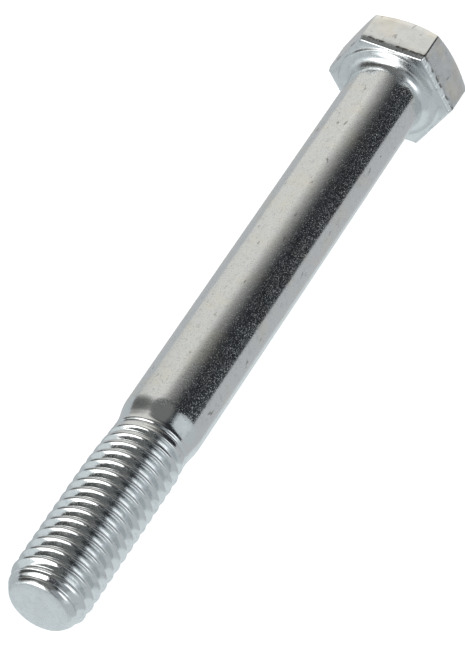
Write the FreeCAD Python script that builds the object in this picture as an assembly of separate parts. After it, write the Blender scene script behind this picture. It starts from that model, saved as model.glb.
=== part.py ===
"""Hex bolt, 1/2-13 UNC x 4-1/2 in, partly threaded, cold forged with a rolled thread.

Millimetres. The origin is the centre of the bearing face under the head, +X runs along
the bolt from the head to the point, and +Z is up, square to one flat of the head, as the
bolt lies on a bench on the opposite flat.
"""
import FreeCAD, Part

import math
import os

# ---- driving dimensions ------------------------------------------------------------

LENGTH = 114.3            # bearing face to point, 4-1/2 in
PITCH = 25.4 / 13         # thirteen threads to the inch
BODY_DIA = 12.65          # plain shank
MAJOR_DIA = 12.49         # over the full thread crests
PITCH_DIA = 11.32         # where groove and ridge are equally wide
MINOR_DIA = 10.30         # at the bottom of the groove
BLANK_DIA = 11.66         # neck of the rolling blank between shank and thread

ACROSS_FLATS = 18.73
HEAD_HEIGHT = 7.94        # 5/16 in, from the bearing face to the top of the head
WASHER_THICKNESS = 0.40   # raised round bearing face
WASHER_DIA = 17.20        # at the bearing face
WASHER_BASE_DIA = 17.60   # where it meets the hex
HEAD_CROWN_DIA = 16.60    # flat circle left on top by the chamfer
HEAD_CHAMFER_DEG = 30.0
HEAD_CORNER_RADIUS = 0.30
HEAD_FILLET = 1.50        # blend from bearing face to shank

NECK_START = 77.80        # end of the plain shank
NECK_END = 81.20          # foot of the cone down to the blank
CREST_START = 82.00       # the crests start to fill here
CREST_FULL = 88.00        # and are full from here on

POINT_LENGTH = 3.30       # rounded taper at the end of the thread
POINT_DIA = 9.94          # where the taper meets the rounded edge of the end face
POINT_EDGE = 0.35         # length of that edge
TAPER_MIDDLE = 0.48       # share of the taper's length run at its middle point,
TAPER_DROP = 0.40         # and share of its depth gained there
END_FACE_DIA = 9.20

THREAD_ANGLE_DEG = 60.0
ROOT_RADIUS = 0.144 * PITCH
GROOVE_PHASE = 0.99       # where a groove crosses the line under the axis, within one pitch
FIRST_GROOVE = 42         # pitches from the bearing face to the last full-depth groove
RUNOUT_TURNS = 0.80       # the groove climbs out of the blank over this much of a turn
RUNOUT_CLEARANCE = 0.25   # and ends this far above the blank
GROOVE_CLEARANCE = 0.60   # the groove's section reaches this far outside the crests

HEX_SIDES = 6
OVERLAP = 1.0             # how far joining and trimming shapes reach past each other

X_AXIS = FreeCAD.Vector(1, 0, 0)
Y_AXIS = FreeCAD.Vector(0, 1, 0)
Z_AXIS = FreeCAD.Vector(0, 0, 1)
ORIGIN = FreeCAD.Vector(0, 0, 0)


# ---- helpers -----------------------------------------------------------------------

def at(x, radius):
    """A point of a lathe profile: station along the bolt and distance from its axis."""
    return FreeCAD.Vector(x, 0, radius)


def turned(edges):
    """The solid swept by a closed profile turned once about the bolt's axis."""
    face = Part.Face(Part.Wire(edges))
    return face.revolve(ORIGIN, X_AXIS, 360)


def line(start, end):
    return Part.LineSegment(start, end).toShape()


def polyline(points):
    return [line(a, b) for a, b in zip(points, points[1:])]


# ---- head --------------------------------------------------------------------------

def hex_prism():
    """Hexagon with its flats facing up and down, from the top of the head to the washer face."""
    corner_radius = ACROSS_FLATS / math.sqrt(3)
    corners = []
    for index in range(HEX_SIDES + 1):
        angle = 2 * math.pi * index / HEX_SIDES
        corners.append(FreeCAD.Vector(-HEAD_HEIGHT, corner_radius * math.cos(angle),
                                      corner_radius * math.sin(angle)))
    prism = Part.Face(Part.makePolygon(corners)).extrude(X_AXIS * (HEAD_HEIGHT - WASHER_THICKNESS))
    long_edges = [edge for edge in prism.Edges if edge.BoundBox.XLength > HEAD_HEIGHT / 2]
    return prism.makeFillet(HEAD_CORNER_RADIUS, long_edges)


def chamfer_envelope():
    """Cone that trims the corners of the hexagon at the top of the head."""
    crown = HEAD_CROWN_DIA / 2
    wide = ACROSS_FLATS
    drop = (wide - crown) * math.tan(math.radians(HEAD_CHAMFER_DEG))
    return turned(polyline([at(-HEAD_HEIGHT, 0), at(-HEAD_HEIGHT, crown),
                            at(-HEAD_HEIGHT + drop, wide), at(OVERLAP, wide), at(OVERLAP, 0),
                            at(-HEAD_HEIGHT, 0)]))


def head():
    return hex_prism().common(chamfer_envelope())


# ---- turned body -------------------------------------------------------------------

def blank():
    """Washer face, fillet, shank, neck, crest envelope and point, as one turned solid."""
    body = BODY_DIA / 2
    crest = MAJOR_DIA / 2
    neck = BLANK_DIA / 2
    inside_head = -HEAD_HEIGHT / 2
    inside_washer = WASHER_BASE_DIA / 2 - OVERLAP

    fillet_sag = HEAD_FILLET * (1 - math.cos(math.radians(45)))
    fillet_middle = at(fillet_sag, body + fillet_sag)
    taper_start = at(LENGTH - POINT_LENGTH, crest)
    taper_middle = at(LENGTH - (1 - TAPER_MIDDLE) * POINT_LENGTH,
                      crest - TAPER_DROP * (crest - POINT_DIA / 2))
    taper_end = at(LENGTH - POINT_EDGE, POINT_DIA / 2)

    edges = polyline([at(inside_head, 0), at(inside_head, inside_washer),
                      at(-WASHER_THICKNESS, inside_washer),
                      at(-WASHER_THICKNESS, WASHER_BASE_DIA / 2),
                      at(0, WASHER_DIA / 2), at(0, body + HEAD_FILLET)])
    edges.append(Part.Arc(at(0, body + HEAD_FILLET), fillet_middle,
                          at(HEAD_FILLET, body)).toShape())
    edges += polyline([at(HEAD_FILLET, body), at(NECK_START, body), at(NECK_END, neck),
                       at(CREST_START, neck), at(CREST_FULL, crest), taper_start])
    edges.append(Part.Arc(taper_start, taper_middle, taper_end).toShape())
    edges += polyline([taper_end, at(LENGTH, END_FACE_DIA / 2), at(LENGTH, 0),
                       at(inside_head, 0)])
    return turned(edges)


# ---- thread ------------------------------------------------------------------------

def along_bolt(shape):
    """Turn a shape made along +Z so that it lies along +X."""
    shape.rotate(ORIGIN, Y_AXIS, 90)
    return shape


def groove_section(station):
    """Closed section of the groove, with a round root, in the plane y = 0 of a bolt along +Z."""
    half_angle = math.radians(THREAD_ANGLE_DEG / 2)
    outer = MAJOR_DIA / 2 + GROOVE_CLEARANCE
    root = MINOR_DIA / 2

    def half_width(radius):
        return PITCH / 4 + (radius - PITCH_DIA / 2) * math.tan(half_angle)

    tangent_radius = root + ROOT_RADIUS * (1 - math.sin(half_angle))
    top = FreeCAD.Vector(outer, 0, station + half_width(outer))
    upper = FreeCAD.Vector(tangent_radius, 0, station + half_width(tangent_radius))
    bottom = FreeCAD.Vector(root, 0, station)
    lower = FreeCAD.Vector(tangent_radius, 0, station - half_width(tangent_radius))
    foot = FreeCAD.Vector(outer, 0, station - half_width(outer))
    return Part.Wire([line(top, upper), Part.Arc(upper, bottom, lower).toShape(),
                      line(lower, foot), line(foot, top)])


def groove_along(path, station):
    """Solid left by the groove section as it runs along a helix."""
    sweep = Part.Wire(path.Edges).makePipeShell([groove_section(station)], True, True)
    return along_bolt(Part.Solid(sweep))


def groove_turns():
    """Full-depth groove, one solid per turn, from near the neck out past the point."""
    first = GROOVE_PHASE + FIRST_GROOVE * PITCH
    count = math.ceil((LENGTH - first) / PITCH) + 1
    turns = []
    for index in range(count):
        station = first + index * PITCH
        path = Part.makeHelix(PITCH, PITCH, MAJOR_DIA / 2)
        path.translate(Z_AXIS * station)
        turns.append(groove_along(path, station))
    return turns


def runout_groove():
    """The groove's last part, on a cone that climbs out of the blank towards the neck."""
    station = GROOVE_PHASE + FIRST_GROOVE * PITCH
    height = RUNOUT_TURNS * PITCH
    climb = (BLANK_DIA - MINOR_DIA) / 2 + RUNOUT_CLEARANCE
    path = Part.makeHelix(PITCH, height, MAJOR_DIA / 2, math.degrees(math.atan(climb / height)))
    path.rotate(ORIGIN, X_AXIS, 180)
    path.translate(Z_AXIS * station)
    return groove_along(path, station)


# ---- the bolt ----------------------------------------------------------------------

def hex_bolt():
    solid = head().fuse(blank())
    for groove in groove_turns() + [runout_groove()]:
        solid = solid.cut(groove)
    return solid.removeSplitter()


def export(name, shape):
    solids = shape.Solids
    print(name, "valid", shape.isValid(), "solids", len(solids),
          "volume mm3", round(shape.Volume, 1), "box", shape.BoundBox)
    if len(solids) != 1 or not shape.isValid():
        raise SystemExit(name + " is not one valid solid")
    solids[0].exportStep(os.path.join("parts", name + ".step"))


os.makedirs("parts", exist_ok=True)
export("hex_bolt", hex_bolt())
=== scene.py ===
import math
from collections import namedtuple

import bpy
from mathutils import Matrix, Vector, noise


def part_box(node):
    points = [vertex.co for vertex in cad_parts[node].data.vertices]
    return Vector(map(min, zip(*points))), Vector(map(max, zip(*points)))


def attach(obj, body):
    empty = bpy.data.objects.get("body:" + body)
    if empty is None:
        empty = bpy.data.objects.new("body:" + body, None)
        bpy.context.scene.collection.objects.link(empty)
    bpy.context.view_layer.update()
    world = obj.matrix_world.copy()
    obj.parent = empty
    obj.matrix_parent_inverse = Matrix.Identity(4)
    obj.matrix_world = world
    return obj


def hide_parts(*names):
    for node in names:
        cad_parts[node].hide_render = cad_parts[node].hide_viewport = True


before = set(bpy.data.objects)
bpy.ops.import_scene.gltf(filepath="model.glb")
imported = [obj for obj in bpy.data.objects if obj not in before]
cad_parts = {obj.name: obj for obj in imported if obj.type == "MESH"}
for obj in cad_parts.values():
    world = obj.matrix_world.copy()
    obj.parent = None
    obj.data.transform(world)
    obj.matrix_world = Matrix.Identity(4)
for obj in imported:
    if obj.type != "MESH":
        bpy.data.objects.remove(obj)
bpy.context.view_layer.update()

# Looks of a zinc-plated hex bolt with a rolled thread. Blender works in metres, and the
# sizes below are in millimetres, so the mesh is scaled once, when it is made.
# The bolt lies along X: head at -X, point at +X. An angle about the bolt is measured from
# +Y towards +Z, in radians. The hexagon's corners are at 0, 60, ... degrees.

MM = 0.001
TAU = 2 * math.pi
NODE = "hex_bolt"

# ---- sizes, in millimetres -----------------------------------------------------------

LOW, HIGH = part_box(NODE)
LENGTH = HIGH.x / MM                # bearing face to point
HEAD_HEIGHT = -LOW.x / MM
ACROSS_FLATS = (HIGH.z - LOW.z) / MM

BODY_R = 6.325                      # plain shank
MAJOR_R = 6.245                     # over full crests
MINOR_R = 5.15                      # bottom of the groove
NECK_R = 5.83                       # rolling blank, seen at the neck
PITCH = 25.4 / 13
HALF_THREAD_ANGLE = math.radians(30)
ROOT_ROUND = 0.144 * PITCH          # radius of the groove's round root, by the standard
ROOT_TANGENT = ROOT_ROUND * math.cos(HALF_THREAD_ANGLE)   # from the groove's middle to its flank
LEAST_GROOVE = 0.004                # a shallower groove counts as none
CREST_AT = 0.50                     # where a crest crosses the +Y side, within one pitch
CREST_ROUND = 0.14                  # rounding of the crest's two edges,
POINT_ROUND = 0.40                  # which is softer where the point tapers,
POINT_ROUND_AHEAD = 0.5             # and starts to be at this share of the taper before it
CREST_DIP = 0.015                   # rolled crests stay slightly hollow in the middle,
THIN_CREST_DIP = 0.10               # and more so where they aren't full,
STEEPEST_DIP = 0.22                 # but never by more than this share of half their flat

CORNER_ROUND = 0.30                 # the hexagon's long edges
CROWN_R = 8.30                      # flat circle on top of the head
CHAMFER_TAN = math.tan(math.radians(30))
WASHER_STEP = 0.40
WASHER_R = 8.60
WASHER_BASE_R = 8.80
HEAD_FILLET = 1.50
TRIM_BAND = 0.95                    # torn band that trimming leaves along each flat
TRIM_LEAN = 0.24                    # how far that band leans inwards
TRIM_EDGE = 0.12                    # and how far its lower edge stays above the hexagon's underside
TEAR = 0.080                        # roughness of the torn band,
TEARS_PER_MM = 1.3                  # how closely its tears follow each other,
TEAR_CHANGE = 0.02                  # how little they change from one row to the next,
TEAR_REACH = 1.5                    # and how much further they reach along the bolt

CONE_START = 77.4
CONE_END = 81.1
NECK_LEAN = 0.10                    # the thread blank sits this far off centre
NECK_LEAN_AT = math.radians(-21)
THREAD_FROM = 78.4                  # the helical part of the mesh starts here
GROOVE_FULL = 83.0                  # the groove is at full depth from here
GROOVE_RISE = 0.40                  # and comes up by this much per millimetre before it
CREST_FROM = 82.2
CREST_FULL = 88.7                   # crests are full from here, give or take the next value
CREST_FULL_SWING = 4.2
POINT_TAPER = 3.3
POINT_BOW = 0.65                    # share of the taper that steepens towards the point
POINT_R = 4.97
POINT_EDGE = 0.35
END_FACE_R = 4.55

HEX_SIDES = 6
COLUMNS = 210                       # vertices round the bolt, a multiple of six
HEAD_COLUMNS = 2 * COLUMNS          # and round its head
CORNER_CROWDING = 0.85              # how strongly the head's columns crowd towards its corners


def smooth(t):
    t = min(1.0, max(0.0, t))
    return t * t * (3 - 2 * t)


def mix(a, b, t):
    return a + (b - a) * t


def edge_points(x, radius, offsets):
    """Profile points round an edge, from their offsets along the bolt and outwards."""
    return [(x + along, radius + out) for along, out in offsets]


# ---- head ----------------------------------------------------------------------------

CROWN_SHARES = (0.12, 0.4, 0.7, 0.92)              # of the flat circle's radius
CROWN_EDGE = ((0, -0.12), (0.02, 0.04))
CHAMFER_SHARES = (0.35, 0.7)
CHAMFER_EDGE = ((-0.06, -0.10), (0.01, -0.03), (0.10, 0))
FLAT_SHARES = (0.15, 0.5, 0.85, 0.97)              # from the chamfer to the torn band
TRIM_SHARES = (0.06, 0.25, 0.5, 0.75, 1.0)         # across the torn band
UNDER_EDGE = ((-0.05, -0.03), (-0.01, -0.10), (0, -0.22))


def head_angle(column):
    """Angle of a column on the head: columns crowd towards the six corners."""
    flat, step = divmod(column, HEAD_COLUMNS // HEX_SIDES)
    t = step / (HEAD_COLUMNS // HEX_SIDES)
    crowded = 0.5 - 0.5 * math.cos(math.pi * t)
    return TAU / HEX_SIDES * (flat + mix(t, crowded, CORNER_CROWDING))


def round_angle(column):
    return TAU * column / COLUMNS


def hex_radius(angle):
    """Distance from the axis to the hexagon's side, with rounded corners."""
    apothem = ACROSS_FLATS / 2
    half = TAU / (2 * HEX_SIDES)
    to_corner = half - abs(angle % (2 * half) - half)
    centre = (apothem - CORNER_ROUND) / math.cos(half)
    reach = math.atan2(CORNER_ROUND * math.sin(half), centre + CORNER_ROUND * math.cos(half))
    if to_corner < reach:
        sideways = centre * math.sin(to_corner)
        return centre * math.cos(to_corner) + math.sqrt(CORNER_ROUND ** 2 - sideways ** 2)
    return apothem / math.cos(half - to_corner)


def tear(angle, row):
    """Height of the torn metal: mostly upright tears, a little different from row to row."""
    along = Vector((math.cos(angle), math.sin(angle), TEAR_CHANGE * row)) * ACROSS_FLATS
    return TEAR * noise.noise(along * TEARS_PER_MM)


def trim_start(angle):
    """Where along the bolt the torn band starts."""
    return -WASHER_STEP - TRIM_BAND + tear(angle, 0) * TEAR_REACH


def forged_profile(angle):
    """(x, radius) from near the middle of the head's top down to the torn band."""
    top = -HEAD_HEIGHT
    side = hex_radius(angle)
    chamfer_x = top + (side - CROWN_R) * CHAMFER_TAN
    points = [(top, CROWN_R * share) for share in CROWN_SHARES]
    points += edge_points(top, CROWN_R, CROWN_EDGE)
    for share in CHAMFER_SHARES:
        points.append((mix(top, chamfer_x, share), mix(CROWN_R, side, share)))
    points += edge_points(chamfer_x, side, CHAMFER_EDGE)
    flat_x = points[-1][0]
    for share in FLAT_SHARES:
        points.append((mix(flat_x, trim_start(angle), share), side))
    return points


def trimmed_profile(angle):
    """(x, radius) across the torn band, to the bearing side of the hexagon."""
    side = hex_radius(angle)
    points = []
    for row, share in enumerate(TRIM_SHARES):
        x = mix(trim_start(angle), -WASHER_STEP - TRIM_EDGE, share)
        points.append((x, side - TRIM_LEAN * share - abs(tear(angle, row + 1))))
    return points + edge_points(-WASHER_STEP, side - TRIM_LEAN - TEAR, UNDER_EDGE)


WASHER_FOOT = ((0, 0.05), (0.03, 0))               # where the washer face leaves the hexagon
WASHER_EDGE = ((-0.05, 0.02), (0, -0.04))
WASHER_SHARES = (0.35, 0.8, 1.0)                   # from its edge in to the fillet
FILLET_STEPS = 8


def collar_profile():
    """(x, radius) from the washer face's foot, over the bearing face and fillet, to the shank."""
    points = edge_points(-WASHER_STEP, WASHER_BASE_R, WASHER_FOOT)
    points += edge_points(0, WASHER_R, WASHER_EDGE)
    foot = BODY_R + HEAD_FILLET
    points += [(0, mix(WASHER_R, foot, share)) for share in WASHER_SHARES]
    for step in range(1, FILLET_STEPS + 1):
        turned = math.pi / 2 * step / FILLET_STEPS
        points.append((HEAD_FILLET * (1 - math.cos(turned)), foot - HEAD_FILLET * math.sin(turned)))
    return points


# ---- shank, neck, thread and point ------------------------------------------------------

def envelope(x, angle):
    """Outside of the turned blank: the radius with no groove cut."""
    leaning = math.cos(angle - NECK_LEAN_AT)
    neck = NECK_R + NECK_LEAN * leaning
    if x < CREST_FROM:
        return mix(BODY_R, neck, smooth((x - CONE_START) / (CONE_END - CONE_START)))
    full = CREST_FULL - CREST_FULL_SWING * leaning
    filled = min(1.0, (x - CREST_FROM) / (full - CREST_FROM))
    crest = mix(neck, MAJOR_R, math.sin(math.pi / 2 * filled))
    taper = x - (LENGTH - POINT_TAPER)
    if taper > 0:
        t = taper / (POINT_TAPER - POINT_EDGE)
        crest -= (MAJOR_R - POINT_R) * mix(t, t * t, POINT_BOW)
    return crest


def groove_radius(off, lift):
    """Radius of the groove's surface at a distance along X from its middle."""
    off = abs(off)
    if off < ROOT_TANGENT:
        return MINOR_R + lift + ROOT_ROUND - math.sqrt(ROOT_ROUND ** 2 - off ** 2)
    return MINOR_R + lift + ROOT_ROUND / 2 + (off - ROOT_TANGENT) / math.tan(HALF_THREAD_ANGLE)


def groove_lift(x):
    """How far the groove has come up where it runs out towards the neck."""
    return GROOVE_RISE * max(0.0, GROOVE_FULL - x)


def groove_half_width(x, angle, lift):
    """Half the groove's width where it meets the outside, and 0 where there is no groove."""
    height = envelope(x, angle) - MINOR_R - lift
    if height <= LEAST_GROOVE:
        return 0.0
    if height < ROOT_ROUND / 2:
        return math.sqrt(ROOT_ROUND ** 2 - (ROOT_ROUND - height) ** 2)
    return ROOT_TANGENT + (height - ROOT_ROUND / 2) * math.tan(HALF_THREAD_ANGLE)


def crest_round(x):
    """Size of the rounding of a crest's edges, which grows round the start of the point's taper."""
    taper = (x - (LENGTH - POINT_TAPER)) / POINT_TAPER
    return mix(CREST_ROUND, POINT_ROUND, smooth(taper + POINT_ROUND_AHEAD))


def crest_dip(x, angle, lift):
    """How far a crest's middle lies under its two lips."""
    radius = envelope(x, angle)
    fullness = min(1.0, max(0.0, (radius - NECK_R) / (MAJOR_R - NECK_R)))
    depth = (radius - lift - MINOR_R) / (NECK_R - MINOR_R)
    return mix(THIN_CREST_DIP, CREST_DIP, fullness) * min(1.0, max(0.0, depth))


# Places across one pitch, from one crest's middle to the next. The groove's places are shares
# of its half width, up to the edge's rounding, and the crest's are shares of half the crest's
# flat. Round the edge between them are (place, drop) pairs, in shares of the rounding.
GROOVE_LEAST = 0.12                 # half width that the mesh keeps for it where it has run out
GROOVE_SHARES = (0.13, 0.26, 0.39, 0.72)
CREST_SHARES = (0.5, 0.0)
EDGE_PLACES = ((-1.0, 0.0), (-0.33, 0.19), (0.33, 0.19), (1.0, 0.0))
EDGE_OF_GROOVE = 0.6                # the rounding takes at most this share of the half groove,
EDGE_OF_RIDGE = 0.9                 # and this share of the half ridge
STATIONS = 2 * (len(GROOVE_SHARES) + len(EDGE_PLACES) + len(CREST_SHARES))


def half_pitch_points(middle, sign, half_width, angle, lift):
    """(x, radius) from beside a groove's middle out to the next crest's middle, on one side."""
    width = max(half_width, GROOVE_LEAST)
    ridge = PITCH / 2 - width
    edge = min(crest_round(middle), EDGE_OF_GROOVE * width, EDGE_OF_RIDGE * ridge)
    flat = ridge - edge

    def cut(off):
        """Groove or blank, whichever is further in."""
        return min(groove_radius(off, lift), envelope(middle + sign * off, angle))

    points = []
    for share in GROOVE_SHARES:
        off = (width - edge) * share
        points.append((middle + sign * off, cut(off)))
    for along, drop in EDGE_PLACES:
        off = width + along * edge
        rounded = drop * edge if half_width > GROOVE_LEAST else 0.0
        points.append((middle + sign * off, cut(off) - rounded))
    for share in CREST_SHARES:
        x = middle + sign * (PITCH / 2 - flat * share)
        dip = min(crest_dip(x, angle, lift), STEEPEST_DIP * flat)
        points.append((x, envelope(x, angle) - dip * (1 - share * share)))
    return points


def pitch_points(crest_x, angle):
    """(x, radius) across one pitch, from the crest at crest_x up to but not including the next."""
    middle = crest_x + PITCH / 2
    lift = groove_lift(middle)
    near = groove_half_width(middle - PITCH / 4, angle, lift)
    far = groove_half_width(middle + PITCH / 4, angle, lift)
    near = groove_half_width(middle - near, angle, lift)
    far = groove_half_width(middle + far, angle, lift)
    left = half_pitch_points(middle, -1, near, angle, lift)
    right = half_pitch_points(middle, 1, far, angle, lift)
    root = (middle, min(groove_radius(0, lift), envelope(middle, angle)))
    return left[::-1] + [root] + right[:-1]


# ---- the mesh ------------------------------------------------------------------------

ZONE_HEAD, ZONE_TEAR, ZONE_TRIM, ZONE_COLLAR, ZONE_SHANK, ZONE_THREAD, ZONE_END = range(7)

TEAR_BANDS = 2                      # of the torn band that show where its tears start
SHANK_RINGS = 12
CONE_RINGS = 4                      # from the start of the cone to the start of the helical strip
CONE_GAP = 0.3                      # between the last ring of the shank and the cone
STRIP_GAP = 0.02                    # kept clear at both ends of the helical strip
EXTRA_TURNS = 3                     # laid out past each end of it and then left out
POINT_EDGE_ROUND = ((-0.22, -0.10), (-0.09, -0.231))
END_EDGE = ((-0.02, 0.03), (0, -0.15))
END_SHARES = (0.75, 0.45, 0.15)     # of the end face's radius


class Skin:
    """Collects vertices in the bolt's own millimetres, and faces with a zone number."""

    def __init__(self):
        self.verts = []
        self.faces = []
        self.zones = []

    def vert(self, x, radius, angle):
        self.verts.append((x, radius * math.cos(angle), radius * math.sin(angle)))
        return len(self.verts) - 1

    def face(self, corners, zone):
        corners = [c for k, c in enumerate(corners) if c != corners[k - 1]]
        self.faces.append(corners)
        self.zones.append(zone)

    def ring(self, points):
        """points: one (x, radius, angle) for each column."""
        return [self.vert(*p) for p in points]

    def band(self, a, b, zone):
        """Faces between two rings, a nearer the head. Ring a may have twice as many vertices."""
        for i in range(len(b)):
            j = (i + 1) % len(b)
            if len(a) == len(b):
                self.face([a[i], a[j], b[j], b[i]], zone)
            else:
                first, middle, last = a[2 * i], a[2 * i + 1], a[2 * j]
                self.face([first, middle, b[i]], zone)
                self.face([middle, last, b[j], b[i]], zone)


def add_head(skin):
    """Closed head from the middle of its top to its bearing side. Returns the last ring."""
    angles = [head_angle(i) for i in range(HEAD_COLUMNS)]
    forged = [forged_profile(angle) for angle in angles]
    profiles = [points + trimmed_profile(angle) for points, angle in zip(forged, angles)]
    rings = []
    for k in range(len(profiles[0])):
        rings.append(skin.ring([(*profile[k], angle) for profile, angle in zip(profiles, angles)]))
    centre = skin.vert(-HEAD_HEIGHT, 0, 0)
    for i in range(HEAD_COLUMNS):
        skin.face([centre, rings[0][(i + 1) % HEAD_COLUMNS], rings[0][i]], ZONE_HEAD)
    last_forged = len(forged[0]) - 1
    for k, (a, b) in enumerate(zip(rings, rings[1:])):
        zone = ZONE_TRIM
        if k < last_forged:
            zone = ZONE_HEAD
        elif k < last_forged + TEAR_BANDS:
            zone = ZONE_TEAR
        skin.band(a, b, zone)
    return rings[-1]


def add_turned(skin, ring, profile, zone):
    """Rings of the same radius all round, joined to the ring before them."""
    for x, radius in profile:
        new = skin.ring([(x, radius, round_angle(i)) for i in range(COLUMNS)])
        skin.band(ring, new, zone)
        ring = new
    return ring


def add_shank(skin, ring):
    """Plain shank and the first part of the cone below it."""
    last_x = CONE_START - CONE_GAP
    stops = [mix(HEAD_FILLET, last_x, k / SHANK_RINGS) for k in range(1, SHANK_RINGS + 1)]
    stops += [mix(CONE_START, THREAD_FROM, k / CONE_RINGS) for k in range(CONE_RINGS + 1)]
    for x in stops:
        new = skin.ring([(x, envelope(x, round_angle(i)), round_angle(i)) for i in range(COLUMNS)])
        skin.band(ring, new, ZONE_SHANK)
        ring = new
    return ring


def thread_column(i, last_x):
    """Profile points of one column, keyed by their number along the helical strip."""
    turns = math.ceil((LENGTH - THREAD_FROM) / PITCH) + 2 * EXTRA_TURNS
    start = PITCH * (math.floor(THREAD_FROM / PITCH) - EXTRA_TURNS + i / COLUMNS)
    column = {}
    for turn in range(turns):
        crest_x = CREST_AT + start + turn * PITCH
        for k, (x, radius) in enumerate(pitch_points(crest_x, round_angle(i))):
            if THREAD_FROM + STRIP_GAP < x < last_x - STRIP_GAP:
                column[turn * STATIONS + k] = (x, radius)
    return column


def add_thread(skin, ring):
    """Helical strip of columns from THREAD_FROM to the edge of the end face."""
    last_x = LENGTH - POINT_EDGE
    index = []
    for i in range(COLUMNS):
        column = thread_column(i, last_x)
        index.append({m: skin.vert(*p, round_angle(i)) for m, p in column.items()})
    index.append({m - STATIONS: v for m, v in index[0].items()})
    end = skin.ring([(last_x, POINT_R, round_angle(i)) for i in range(COLUMNS)])
    for i in range(COLUMNS):
        j = (i + 1) % COLUMNS
        here, there = index[i], index[i + 1]
        low = max(min(here), min(there))
        high = min(max(here), max(there))
        for m in range(low, high):
            skin.face([here[m], there[m], there[m + 1], here[m + 1]], ZONE_THREAD)
        extra_here = [here[m] for m in range(min(here), low)]
        extra_there = [there[m] for m in range(min(there), low)]
        skin.face([ring[i], ring[j]] + extra_there + [there[low], here[low]] + extra_here[::-1],
                  ZONE_SHANK)
        extra_here = [here[m] for m in range(high + 1, max(here) + 1)]
        extra_there = [there[m] for m in range(high + 1, max(there) + 1)]
        skin.face([here[high], there[high]] + extra_there + [end[j], end[i]] + extra_here[::-1],
                  ZONE_THREAD)
    return end


def add_end_face(skin, ring):
    """Rounded edge of the point and its flat end."""
    profile = edge_points(LENGTH, POINT_R, POINT_EDGE_ROUND)
    profile += edge_points(LENGTH, END_FACE_R, END_EDGE)
    profile += [(LENGTH, END_FACE_R * share) for share in END_SHARES]
    ring = add_turned(skin, ring, profile, ZONE_END)
    centre = skin.vert(LENGTH, 0, 0)
    for i in range(COLUMNS):
        skin.face([centre, ring[i], ring[(i + 1) % COLUMNS]], ZONE_END)


def make_bolt(materials):
    """One closed mesh, with a material for each zone."""
    skin = Skin()
    ring = add_head(skin)
    ring = add_turned(skin, ring, collar_profile(), ZONE_COLLAR)
    ring = add_shank(skin, ring)
    ring = add_thread(skin, ring)
    add_end_face(skin, ring)
    mesh = bpy.data.meshes.new("bolt_skin")
    mesh.from_pydata([(x * MM, y * MM, z * MM) for x, y, z in skin.verts], [], skin.faces)
    mesh.validate()
    for material in materials:
        mesh.materials.append(material)
    mesh.polygons.foreach_set("material_index", skin.zones)
    mesh.polygons.foreach_set("use_smooth", [True] * len(mesh.polygons))
    bolt = bpy.data.objects.new("bolt_skin", mesh)
    bpy.context.scene.collection.objects.link(bolt)
    return bolt


# ---- materials -----------------------------------------------------------------------

# Sockets of Blender's colour mix node.
MIX_SHARE, MIX_FIRST, MIX_SECOND, MIX_RESULT = 0, 6, 7, 2


def set_socket(tree, socket, value):
    """Link the socket if the value is another node's output, and set it otherwise."""
    if isinstance(value, bpy.types.NodeSocket):
        tree.links.new(value, socket)
    elif value is not None:
        socket.default_value = value


def add_node(tree, kind, values=(), **settings):
    """A node with its first inputs set in order: a socket is linked, None leaves one alone."""
    node = tree.nodes.new(kind)
    for name, value in settings.items():
        setattr(node, name, value)
    for socket, value in zip(node.inputs, values):
        set_socket(tree, socket, value)
    return node


def math_node(tree, operation, *values):
    return add_node(tree, "ShaderNodeMath", values, operation=operation).outputs[0]


def ramp_up(tree, value, start, end, low=0.0, high=1.0):
    """low where value is below start, high above end, smooth between. start may be the larger."""
    values = (value, start, end, low, high)
    return add_node(tree, "ShaderNodeMapRange", values, interpolation_type="SMOOTHSTEP").outputs[0]


def blend(tree, share, first, second):
    """Colour between first, at share 0, and second, at share 1."""
    node = add_node(tree, "ShaderNodeMix", data_type="RGBA")
    set_socket(tree, node.inputs[MIX_SHARE], share)
    set_socket(tree, node.inputs[MIX_FIRST], first)
    set_socket(tree, node.inputs[MIX_SECOND], second)
    return node.outputs[MIX_RESULT]


def patches(tree, place, size, detail, stretch=(1, 1, 1)):
    """Noise from 0 to 1 with features of about size, in millimetres."""
    mapping = add_node(tree, "ShaderNodeMapping", (place, None, None, stretch))
    values = (mapping.outputs[0], None, 1 / (size * MM), detail)
    return add_node(tree, "ShaderNodeTexNoise", values).outputs["Fac"]


def bump(tree, height, depth, before=None):
    """Bump of a depth in millimetres, on top of the bump before it."""
    node = add_node(tree, "ShaderNodeBump", invert=False)
    node.inputs["Strength"].default_value = 1
    node.inputs["Distance"].default_value = depth * MM
    tree.links.new(height, node.inputs["Height"])
    if before:
        tree.links.new(before, node.inputs["Normal"])
    return node.outputs["Normal"]


CLEAR_ZINC = (0.77, 0.79, 0.80, 1)
WARM_ZINC = (0.80, 0.775, 0.70, 1)
DULL_ZINC = (0.60, 0.61, 0.62, 1)
# dark of scratches, and of painted shade in the torn band
DARK_MARK_AND_SHADE = (0.16, 0.14, 0.12, 1)

# Features of the plating, and the painted shade among its dark marks: their size in millimetres,
# how finely they are broken up, and the heights of the noise between which they come in.
Feature = namedtuple("Feature", "size detail none_at full_at")
WARM = Feature(3.5, 3, 0.45, 0.70)
DULL = Feature(0.9, 4, 0.52, 0.72)
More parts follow.
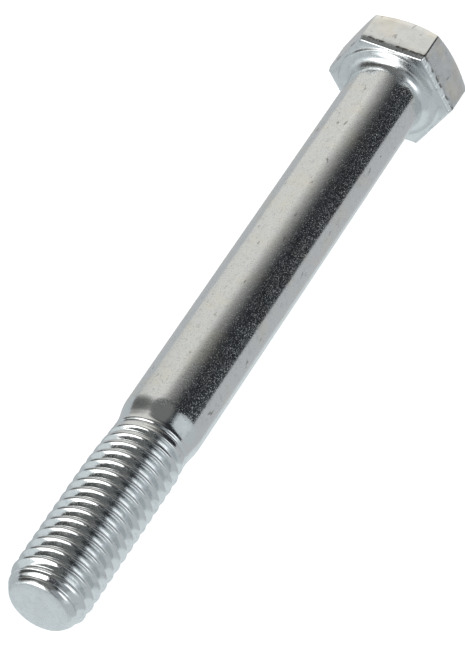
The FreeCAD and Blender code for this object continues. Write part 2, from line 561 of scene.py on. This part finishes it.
# dark marks: scratches, and painted shade along the torn band's edge
MARK_AND_SHADE = Feature(0.8, 6, 0.72, 0.78)
SHEEN = Feature(1.6, 4, 0.30, 0.75)
SPECK = Feature(0.17, 2, 0.53, 0.66)
MARK_AND_SHADE_STRETCH = (0.35, 1.0, 1.0)     # dark marks and painted shade are drawn out along the bolt, come in lower by this for each unit of them, and take on at most this share of their dark colour
MARK_AND_SHADE_SPREAD = 0.1                   # come in lower by this for each unit of marks,
DARKEST_MARK_AND_SHADE = 0.8                  # and take on at most this share of DARK_MARK_AND_SHADE
BRIGHTEST_SHEEN = 0.8               # shares of a finish's roughness
DULLEST_SHEEN = 1.4
GRAIN_SIZE = 0.3
DENT_SIZE = 2.2
BUMP_DETAIL = 2


def feature_share(tree, place, feature, least, most):
    """least where the plating has none of a feature, most where it has it in full."""
    found = patches(tree, place, feature.size, feature.detail)
    return ramp_up(tree, found, feature.none_at, feature.full_at, least, most)


def mark_and_shade_share(tree, place, marks_and_shade):
    """Share of the dark colour of scratches and painted shade: they cover more metal the more of
    them.
    """
    found = patches(tree, place, MARK_AND_SHADE.size, MARK_AND_SHADE.detail, MARK_AND_SHADE_STRETCH)
    lower = MARK_AND_SHADE_SPREAD * marks_and_shade
    return ramp_up(tree, found, MARK_AND_SHADE.none_at - lower, MARK_AND_SHADE.full_at - lower,
                   0, min(marks_and_shade, DARKEST_MARK_AND_SHADE))


def zinc_colour(tree, place, warm, dull, marks_and_shade):
    """Clear zinc with warm and dull patches, and dark marks where asked for: scratches, and painted
    shade in the torn band.
    """
    colour = blend(tree, feature_share(tree, place, WARM, 0, warm), CLEAR_ZINC, WARM_ZINC)
    colour = blend(tree, feature_share(tree, place, DULL, 0, dull), colour, DULL_ZINC)
    if marks_and_shade:
        colour = blend(tree, mark_and_shade_share(tree, place, marks_and_shade), colour, DARK_MARK_AND_SHADE)
    return colour


def zinc_roughness(tree, place, roughness, specks):
    """Sheen that varies from patch to patch, with small rough specks."""
    sheen = feature_share(tree, place, SHEEN,
                          BRIGHTEST_SHEEN * roughness, DULLEST_SHEEN * roughness)
    return math_node(tree, "ADD", sheen, feature_share(tree, place, SPECK, 0, specks))


def zinc(name, roughness, grain, specks=0.5, warm=0.5, dull=0.5, dents=0.0, marks_and_shade=0.0):
    """Bright zinc plate. Grain and dents are depths in millimetres. Specks are the roughness
    they add, and warm and dull are strengths from 0 to 1. Dark marks are scratches, and painted
    shade in the torn band: the more of them, the more metal they cover, and the darker up to a limit."""
    material = bpy.data.materials.new(name)
    material.use_nodes = True
    tree = material.node_tree
    shader = tree.nodes["Principled BSDF"]
    shader.inputs["Metallic"].default_value = 1
    place = add_node(tree, "ShaderNodeTexCoord").outputs["Object"]
    colour = zinc_colour(tree, place, warm, dull, marks_and_shade)
    tree.links.new(colour, shader.inputs["Base Color"])
    rough = zinc_roughness(tree, place, roughness, specks)
    tree.links.new(rough, shader.inputs["Roughness"])
    normal = bump(tree, patches(tree, place, GRAIN_SIZE, BUMP_DETAIL), grain)
    if dents:
        normal = bump(tree, patches(tree, place, DENT_SIZE, BUMP_DETAIL), dents, normal)
    tree.links.new(normal, shader.inputs["Normal"])
    return material


def zone_materials():
    """One finish for each zone of the mesh, in the order of the zone numbers."""
    return [
        zinc("zinc_head", 0.20, 0.005, specks=0.05, warm=0.8, dull=0.1, dents=0.02, marks_and_shade=0.5),
        # first rows of the torn band: their heavy dark marks are painted shade along the torn edge
        zinc("zinc_tear_painted_shade", 0.25, 0.010, specks=0.2, warm=0.1, marks_and_shade=2.5),
        zinc("zinc_trim", 0.20, 0.008, specks=0.15, warm=0.1, marks_and_shade=0.8),
        zinc("zinc_collar", 0.23, 0.002, specks=0.05, warm=0.1),
        zinc("zinc_shank", 0.12, 0.008, specks=0.35, marks_and_shade=0.65),
        zinc("zinc_thread", 0.11, 0.005, specks=0.15, warm=0.1),
        zinc("zinc_end", 0.25, 0.006, specks=0.1, warm=0.1, dents=0.03),
    ]


# ---- camera, floor and light ---------------------------------------------------------

CAMERA_TARGET = Vector((54.936, 0.054, 0)) * MM    # on the bolt's axis
CAMERA_DISTANCE = 483.531 * MM
CAMERA_AZIMUTH = math.radians(26.2700)             # of the camera, from +X towards +Y
CAMERA_ELEVATION = math.radians(47.8932)
CAMERA_ROLL = math.radians(0.5050)                 # its right side is raised by this much
SENSOR = 36.0                                      # millimetres, as the lens
LENS = 181.6186                                    # for the picture's longer side
CLIP_NEAR = 0.01                                   # metres
CLIP_FAR = 20


def add_camera():
    data = bpy.data.cameras.new("camera")
    data.sensor_width = SENSOR
    data.lens = LENS
    data.clip_start = CLIP_NEAR
    data.clip_end = CLIP_FAR
    level = math.cos(CAMERA_ELEVATION)
    back = Vector((level * math.cos(CAMERA_AZIMUTH), level * math.sin(CAMERA_AZIMUTH),
                   math.sin(CAMERA_ELEVATION)))
    right = Vector((0, 0, 1)).cross(back).normalized()
    up = back.cross(right)
    turned = Matrix((right, up, back)).transposed() @ Matrix.Rotation(CAMERA_ROLL, 3, "Z")
    camera = bpy.data.objects.new("camera", data)
    bpy.context.scene.collection.objects.link(camera)
    camera.matrix_world = Matrix.Translation(CAMERA_TARGET + back * CAMERA_DISTANCE) @ turned.to_4x4()
    bpy.context.scene.camera = camera


Card = namedtuple("Card", "start end start_fade end_fade bottom top edge_fade light")

# Light round the bolt, as its reflections see it. Azimuth runs from +X towards +Y, angles are
# in degrees, and a card covers the ones before it.
CEILING = (0.17, 0.175, 0.17, 1)
HORIZON = 1.0
FLOOR = -110                        # a bottom below every direction
CARDS = (
    # the unlit side of the room
    Card(60, 200, 5, 30, FLOOR, 60, 12, (0.024, 0.026, 0.030, 1)),
    # a warm reflector, and its brightest part
    Card(-180, -118, 80, 24, FLOOR, 55, 12, (0.77, 0.76, 0.72, 1)),
    Card(-182, -152, 10, 8, 20, 43, 8, (0.98, 0.95, 0.89, 1)),
    # a dark gap, a pale wall, the window beyond the point, and a dark gap again
    Card(-108, -62, 44, 8, FLOOR, 60, 16, (0.085, 0.085, 0.08, 1)),
    Card(-62, -47, 10, 8, FLOOR, 48, 14, (0.70, 0.73, 0.72, 1)),
    Card(-47, -3, 8, 5, FLOOR, 47, 14, (2.6, 2.6, 2.55, 1)),
    Card(-3, 24, 5, 6, FLOOR, 52, 14, (0.055, 0.06, 0.065, 1)),
    # the soft box between two paler walls, and its dim foot
    Card(24, 64, 8, 10, FLOOR, 50, 14, (0.32, 0.35, 0.37, 1)),
    Card(64, 103, 14, 8, FLOOR, 46, 14, (1.70, 1.76, 1.80, 1)),
    Card(103, 118, 8, 7, FLOOR, 50, 14, (0.60, 0.65, 0.67, 1)),
    Card(44, 106, 10, 6, FLOOR, 12, 12, (0.68, 0.73, 0.76, 1)),
    # the table top, brighter in the window's light and close to the bolt
    Card(-190, 190, 5, 5, FLOOR, HORIZON - 3, 2, (0.52, 0.53, 0.54, 1)),
    Card(-125, 119, 20, 10, FLOOR, HORIZON - 1, 3, (0.52, 0.56, 0.58, 1)),
    Card(-70, -25, 20, 20, -24, HORIZON - 2, 4, (0.70, 0.76, 0.78, 1)),
    Card(-190, 190, 5, 5, FLOOR, -48, 8, (0.72, 0.78, 0.80, 1)),
)


def card_share(tree, card, azimuth, elevation):
    """How much of a card each direction sees: 1 within it, 0 outside, soft at its edges."""
    half = (card.end - card.start) / 2
    away = math_node(tree, "SUBTRACT", azimuth, card.start + half)
    away = math_node(tree, "WRAP", away, 180, -180)
    fade = card.edge_fade / 2
    share = math_node(
        tree, "MULTIPLY",
        ramp_up(tree, away, -half - card.start_fade / 2, -half + card.start_fade / 2),
        ramp_up(tree, away, half + card.end_fade / 2, half - card.end_fade / 2))
    over_bottom = ramp_up(tree, elevation, card.bottom - fade, card.bottom + fade)
    share = math_node(tree, "MULTIPLY", share, over_bottom)
    under_top = ramp_up(tree, elevation, card.top + fade, card.top - fade)
    return math_node(tree, "MULTIPLY", share, under_top)


def add_world():
    """Low soft cards round the table, dark gaps between them and a dim ceiling."""
    world = bpy.data.worlds.new("studio")
    bpy.context.scene.world = world
    world.use_nodes = True
    tree = world.node_tree
    way = add_node(tree, "ShaderNodeTexCoord").outputs["Generated"]
    x, y, z = add_node(tree, "ShaderNodeSeparateXYZ", (way,)).outputs
    azimuth = math_node(tree, "DEGREES", math_node(tree, "ARCTAN2", y, x))
    elevation = math_node(tree, "DEGREES", math_node(tree, "ARCSINE", z))
    colour = CEILING
    for card in CARDS:
        colour = blend(tree, card_share(tree, card, azimuth, elevation), colour, card.light)
    tree.links.new(colour, tree.nodes["Background"].inputs["Color"])


FLOOR_SIZE = 8                      # metres
FLOOR_TILT = math.radians(1.58)     # the bolt lies on a flat of its head and on its point
FLOOR_PAINT = (0.9, 0.9, 0.9, 1)
FLOOR_GLOW = 0.76
DOME_RADIUS = 6                     # metres
DOME_SEGMENTS = 64
DOME_RINGS = 32
DOME_PAINT = (0, 0, 0, 1)
DOME_GLOW = 1.0
STAGE_ROUGHNESS = 0.9
WHITE = (1, 1, 1, 1)


def glow(name, colour, strength):
    material = bpy.data.materials.new(name)
    material.use_nodes = True
    shader = material.node_tree.nodes["Principled BSDF"]
    shader.inputs["Base Color"].default_value = colour
    shader.inputs["Roughness"].default_value = STAGE_ROUGHNESS
    shader.inputs["Emission Color"].default_value = WHITE
    shader.inputs["Emission Strength"].default_value = strength
    return material


def add_stage():
    """A plain pale floor that the bolt's head and point touch, and a pale dome round it all."""
    bpy.ops.mesh.primitive_plane_add(size=FLOOR_SIZE)
    floor = bpy.context.object
    floor.name = "floor"
    floor.location = (-WASHER_STEP * MM, 0, LOW.z)
    floor.rotation_euler = (0, -FLOOR_TILT, 0)
    floor.data.materials.append(glow("floor_white", FLOOR_PAINT, FLOOR_GLOW))
    floor.visible_glossy = False
    bpy.ops.mesh.primitive_uv_sphere_add(
        radius=DOME_RADIUS, segments=DOME_SEGMENTS, ring_count=DOME_RINGS)
    dome = bpy.context.object
    dome.name = "dome"
    dome.data.materials.append(glow("dome_white", DOME_PAINT, DOME_GLOW))
    for way in ("visible_glossy", "visible_diffuse", "visible_shadow", "visible_transmission"):
        setattr(dome, way, False)


bpy.context.scene.view_settings.view_transform = "Standard"
bolt = make_bolt(zone_materials())
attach(bolt, "root")
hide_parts(NODE)
add_camera()
add_world()
add_stage()
